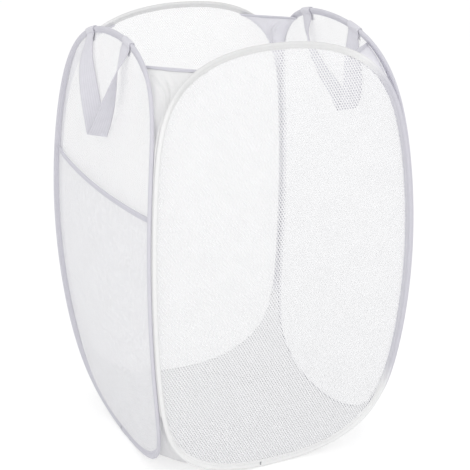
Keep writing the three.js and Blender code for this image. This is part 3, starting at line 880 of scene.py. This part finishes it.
def base_point(u, v):
    """The point of the dished base at a point of the unit square."""
    share = max(abs(u), abs(v))
    if share < 1e-9:
        return np.array([0, 0, base_thickness / 2])
    edge = base_edge(u / share, v / share)
    climb = max(0.0, (share - base_flat_share) / (1 - base_flat_share)) ** base_rise_power
    return np.array([edge[0] * share, edge[1] * share, lerp(base_thickness / 2, edge[2], climb)])


def base_reaches(angle, opening, steps=40):
    """How far from its corner each row of a piece of the base lies, on the unit square."""
    c, s = math.cos(angle), math.sin(angle)
    middle = 2 / (c + s)
    if opening:
        return np.linspace(0, middle - base_chord / (c + s), steps + 1)
    apart = max(abs(c - s), 1e-9)
    shown = np.linspace(0, min(middle, base_chord / apart), steps)
    return np.append(shown, min(middle, (base_chord + base_overlap) / apart))


def base_turn(angle, far, opening):
    """The share of the fold that a point turns by.

    Past the feet, a closing corner's cloth gathers on its middle line.
    """
    even = angle * 2 / math.pi
    past = 0 if opening else min(max((far - base_chord) / base_gather_length, 0), 1)
    return 0.5 + (even - 0.5) * (1 + base_gather * eased(past))


def base_rise(u, v, opening, lift):
    """How much the cloth is raised: not at its edge, nor where it runs under another piece."""
    if not opening and abs(u + v) > base_chord + 1e-6:
        return 0
    return lift * eased(min((1 - max(abs(u), abs(v))) / base_lift_share, 1.0))


def add_base_piece(name, corner, opening, lift):
    """A piece of the base that fans out from its corner between two panels."""
    angles = np.linspace(0, math.pi / 2, 33)
    for ends in (base_chord, base_chord + base_overlap):  # a column through each turn of an edge
        turn = math.atan2(2 - ends, 2 + ends)
        angles = np.append(angles, (turn, math.pi / 2 - turn))
    angles.sort()
    columns, shares = [], []
    for angle in angles:
        reaches = base_reaches(angle, opening)
        shares.append([base_turn(angle, far, opening) for far in reaches])
        places = [(corner[0] * (1 - far * math.cos(angle)), corner[1] * (1 - far * math.sin(angle)))
                  for far in reaches]
        columns.append([base_point(u, v) + (0, 0, base_rise(u, v, opening, lift)) for u, v in places])
    grid = np.array(columns).transpose(1, 0, 2)
    obj, kept = sheet_object(name, grid, grid[..., :2] * MM, base_weave, flip=corner[0] == corner[1])
    share = np.array(shares).T.ravel()[kept]
    share[kept < len(angles)] = 0.5
    bend_with(obj)
    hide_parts("base_cloth")
    declare_sheet(obj)


add_base_piece("base_front_left", (-1, -1), True, base_lift + 0.15)
add_base_piece("base_back_right", (1, 1), True, base_lift + 0.3)
add_base_piece("base_front_right", (1, -1), False, base_lift)
add_base_piece("base_back_left", (-1, 1), False, base_lift)


# Side pocket
def pocket_grid(columns=41, rows=110):
    """Rows of the pocket's cloth, from its foot up to its mouth, which sags and gapes."""
    grid = []
    for place in np.linspace(pocket_foot_place, place_at_height(pocket_height), rows):
        up = math.sin(math.pi / 2 * min(tape(place, 0, 0)[2] / pocket_height, 1))
        off = mesh_thickness + clearance + (clearance + pocket_edge_tape) * up**2
        right = sewn(place, off, pocket_foot_step)
        share = np.linspace(0, 1, columns)
        bell = np.sin(math.pi * share)
        row = lerp(right * (-1, 1, 1), right, share[:, None])
        row[:, 1] -= pocket_gape * bell**pocket_gape_power * up
        row[:, 2] -= pocket_sag * bell * up
        grid.append(row)
    return np.array(grid)


def add_pocket(body="left_panel", turns=3):
    grid = pocket_grid()
    coords = on_cloth(grid[..., 0], lengths_along(grid[:, grid.shape[1] // 2])[:, None])
    obj, _ = sheet_object("side_pocket_cloth", turned(grid, turns), coords, pocket_mesh)
    dressed(obj, body, "white_mesh", "side_pocket")
    path, _ = drawn_in(grid[-1], pocket_edge_set_in)
    below = drawn_in(grid[-3], pocket_edge_set_in)[0]
    rings, section, lines = edge_tape_rings(path, below - path, mesh_thickness / 2,
                                            pocket_edge_width, pocket_edge_tape)
    rim, _ = sleeve("side_pocket_tape", rings, lengths_along(path), section, lavender_tape,
                    closed=False, turns=turns)
    dressed(rim, body, "lavender_tape", "side_pocket_edge")
    dash, _ = stitches("side_pocket_stitches", *joined(lines, turns), shade_tinted_thread)
    dressed(dash, body, "lavender_tape")
    declare_sheet(obj)


add_pocket()


# Handles
hinge_stand_off = binding_radius + clearance + 1.5 * strap_thickness + hinge_gap
strap_middle = binding_radius + clearance + strap_thickness / 2


def hang_place(handle, hinge, height, turn, share):
    """How far out a loop hangs at a height: near the mesh, but clear of it where the strap turns."""
    def mesh_place(z):
        return -sewn(place_at_height(z), 0)[1]
    gap = lerp(handle["side"] * (-hinge[1] - mesh_place(hinge[2])), handle["rest"], share)
    return mesh_place(height) + handle["side"] * (gap + strap_width / 2 * abs(math.sin(turn)))


def bezier(p, t):
    a, b, c, d = p
    return a * (1 - t) ** 3 + 3 * b * t * (1 - t) ** 2 + 3 * c * t**2 * (1 - t) + d * t**3


def handle_leg(handle, hinge, fold, from_turn, to_turn, steps=26):
    """The middle line of a leg, from its hinge to the fold at the lowest point, with its turn."""
    down = np.array([0, 0, -1.0])
    apart = np.array([np.sign(hinge[0] - fold[0]), 0, 0])
    third = handle["drop"] / 3
    points = (hinge + hinge_drop * down, hinge + third * down, fold - third * down + leg_spread * apart, fold)
    leg = []
    for i in range(steps + 1):
        share = i / steps
        p = bezier(points, share)
        turn = lerp(from_turn, to_turn, share)
        p[1] = -hang_place(handle, hinge, p[2], turn, share)
        leg.append((p, turn))
    return leg


def wrap_rows(handle, end):
    """Rows of a strap's sewn end, from its tab over the hoop to the hinge."""
    across = handle["shift"] + end * handle_spacing / 2
    width = np.linspace(-0.5, 0.5, strap_columns) * strap_width
    places = place_across(across + width)
    tab = mesh_thickness / 2 + strap_thickness / 2 + tab_gap
    on_tape = leg_face + strap_thickness / 2 + wrap_gap
    path = [(a, -lerp(tab, on_tape, climb) - off) for a, climb, off in wrap_back]
    path += [(strap_middle * math.cos(t), strap_middle * math.sin(t))
             for t in np.radians(np.linspace(*wrap_round, 19))]
    path += [(a, on_tape + off) for a, off in wrap_front]
    return [tape(places, a, handle["side"] * b) for a, b in path]


def strap_grid(handle):
    """Rows of a whole strap, from one sewn end to the other, and its two hinges."""
    hinges = [tape(place_across(handle["shift"] + end * handle_spacing / 2), -wrap_leg,
                   handle["side"] * hinge_stand_off) for end in (-1, 1)]
    first, last = hinges
    fold_x = (first[0] + last[0]) / 2 + handle["skew"]
    fold_z = (first[2] + last[2]) / 2 - handle["drop"]
    full_turn = np.sign(handle["turn"]) * math.pi
    folds = [np.array([fold_x + k * fold_turn_radius, first[1], fold_z]) for k in (-1, 1)]
    one = handle_leg(handle, first, folds[0], 0, handle["turn"])
    two = handle_leg(handle, last, folds[1], full_turn, handle["turn"])
    hangs = one[-1][0] - one[-2][0]
    hangs[0] = 0
    hangs = unit(hangs)
    bottom = []
    for angle in np.linspace(0, math.pi, 13):
        p = lerp(one[-1][0], two[-1][0], (1 - math.cos(angle)) / 2)
        bottom.append((p + fold_turn_radius * math.sin(angle) * hangs, handle["turn"], hangs))
    path = [(*p, None) for p in one[:-1]] + bottom + [(*p, None) for p in two[:-1][::-1]]
    width = np.linspace(-0.5, 0.5, strap_columns)[:, None] * strap_width
    rows = []
    for i, (p, turn, leg) in enumerate(path):
        along = path[min(i + 1, len(path) - 1)][0] - path[max(i - 1, 0)][0]
        if i in (0, len(path) - 1):
            along = np.array([0, 0, np.sign(along[2])])
        along = unit(along) if leg is None else leg
        wide = np.array([math.cos(turn), handle["side"] * math.sin(turn), 0])
        wide = unit(wide - (wide @ along) * along)
        rows.append(p + width * wide)
    rows = np.array(rows)
    starts = np.array(wrap_rows(handle, -1))
    ends = np.array(wrap_rows(handle, 1))[::-1, ::-1]
    to_start, to_end = starts[-1] - rows[0], ends[0] - rows[-1]
    for k in range(ease_rows):
        share = 1 - eased(k / ease_rows)
        rows[k] += share * to_start
        rows[-1 - k] += share * to_end
    return np.concatenate([starts[:-1], rows, ends[1:]]), hinges


def add_handle(name, turns, handle):
    grid, hinges = strap_grid(handle)
    coords = on_cloth(lengths_along(grid[:, strap_columns // 2])[:, None],
                      np.linspace(-0.5, 0.5, strap_columns) * strap_width)
    obj, _ = sheet_object(f"{name}_handle_strap", turned(grid, turns), coords, webbing)
    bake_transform(obj)
    solidify = obj.modifiers.new("thickness", "SOLIDIFY")
    solidify.thickness = strap_thickness * MM
    solidify.offset = 0
    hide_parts(f"{name}_handle_loop", f"{name}_handle_end_a", f"{name}_handle_end_b")
    add_strap_stitches(name, turns, handle)


def add_strap_stitches(name, turns, handle):
    """A box of stitches through each sewn end, on both faces of it."""
    half = strap_width / 2 - strap_seam_margin
    outside, inside = leg_face + strap_thickness, mesh_thickness / 2 + strap_thickness
    faces = ((outside + strap_seam_rise[0], 1), (-inside - strap_seam_rise[1], -1))
    lines = []
    for end in (-1, 1):
        across = handle["shift"] + end * handle_spacing / 2
        for (top, low), (b, outwards) in zip(strap_seams, faces):
            corners = [(-half, top), (half, top), (half, low), (-half, low), (-half, top)]
            for (x0, a0), (x1, a1) in zip(corners, corners[1:]):
                t = np.linspace(0, 1, 12)
                places = place_across(across + lerp(x0, x1, t))
                line = tape(places, lerp(a0, a1, t), handle["side"] * b)
                normal = handle["side"] * outwards * at("face", places)
                lines.append(dashes(line, normal, strap_dash_pitch))
    dash, _ = stitches(f"{name}_handle_stitches", *joined(lines, turns), shade_tinted_thread, **strap_dash)
    dressed(dash, f"{name}_panel", "webbing")


add_handle("left", 3, left_handle)
add_handle("right", 1, right_handle)


# Room, lights and camera
def add_floor():
    """A floor that looks white but takes the hamper's shadow, and throws soft light back up at it."""
    n = Nodes("floor")
    matt = n.shader("ShaderNodeBsdfDiffuse", Color=(*[floor_bounce] * 3, 1))
    faint = n.shader("ShaderNodeBsdfDiffuse", Color=(*[floor_shadow] * 3, 1))
    glow = n.shader("ShaderNodeEmission", Color=white, Strength=floor_glow)
    lifted = n.result("ShaderNodeAddShader", (), (faint, glow))
    mesh = bpy.data.meshes.new("floor")
    corners = [(x * floor_size, y * floor_size, 0) for x, y in ((-1, -1), (1, -1), (1, 1), (-1, 1))]
    mesh.from_pydata(corners, [], [(0, 1, 2, 3)])
    mesh.materials.append(n.finish(n.mix_shaders(n.seen(), matt, lifted)))
    obj = placed("floor", mesh)
    obj.location.z = -floor_drop


def add_world():
    """White where it is seen, and a little weaker as a light."""
    n = Nodes("studio", bpy.data.worlds)
    light, backdrop = (n.shader("ShaderNodeBackground", Color=white, Strength=strength)
                       for strength in (world_light, 1.0))
    bpy.context.scene.world = n.finish(n.mix_shaders(n.seen(), light, backdrop), "ShaderNodeOutputWorld")


def add_lamp(name, place, watts):
    light = bpy.data.lights.new(name, "AREA")
    light.size = lamp_size
    light.energy = watts
    obj = placed(name, light)
    obj.location = place
    obj.rotation_euler = (Vector(lamp_target) - Vector(place)).to_track_quat("-Z", "Y").to_euler()


def add_camera():
    """The photo's camera, fitted to the hoops' outlines: it looks at the hamper's middle."""
    azimuth, elevation = (math.radians(angle) for angle in camera_angles)
    back = Vector((math.sin(azimuth) * math.cos(elevation), -math.cos(azimuth) * math.cos(elevation),
                   math.sin(elevation)))
    data = bpy.data.cameras.new("camera")
    data.sensor_width = sensor_width
    data.lens = focal_pixels * sensor_width / photo_pixels
    data.shift_x = (photo_pixels / 2 - centre_pixel[0]) / photo_pixels
    data.shift_y = (centre_pixel[1] - photo_pixels / 2) / photo_pixels
    obj = placed("camera", data)
    obj.location = Vector((0, 0, panel_height / 2 * MM)) + back * camera_distance
    obj.rotation_euler = (-back).to_track_quat("-Z", "Y").to_euler()
    bpy.context.scene.camera = obj


white = (1, 1, 1, 1)
floor_bounce = 0.9
floor_shadow = 0.42  # of the floor's brightness, the part that a shadow takes away
floor_glow = 0.66
floor_size = 6.0
floor_drop = 0.0004
world_light = 0.84
lamp_size = 1.8
lamp_target = (0, 0, 0.3)
camera_angles = (-24.998, 19.774)  # round from the front, and up
camera_distance = 1.8019
sensor_width = 36
photo_pixels = 470
focal_pixels = 1311.217
centre_pixel = (225.556, 228.516)  # where the hamper's middle lies in the photo

add_floor()
add_world()
add_lamp("key", (0.1, -2.4, 1.4), 15)
add_lamp("fill", (-2.2, -0.4, 1.5), 8)
add_camera()
bpy.context.scene.view_settings.view_transform = "Standard"
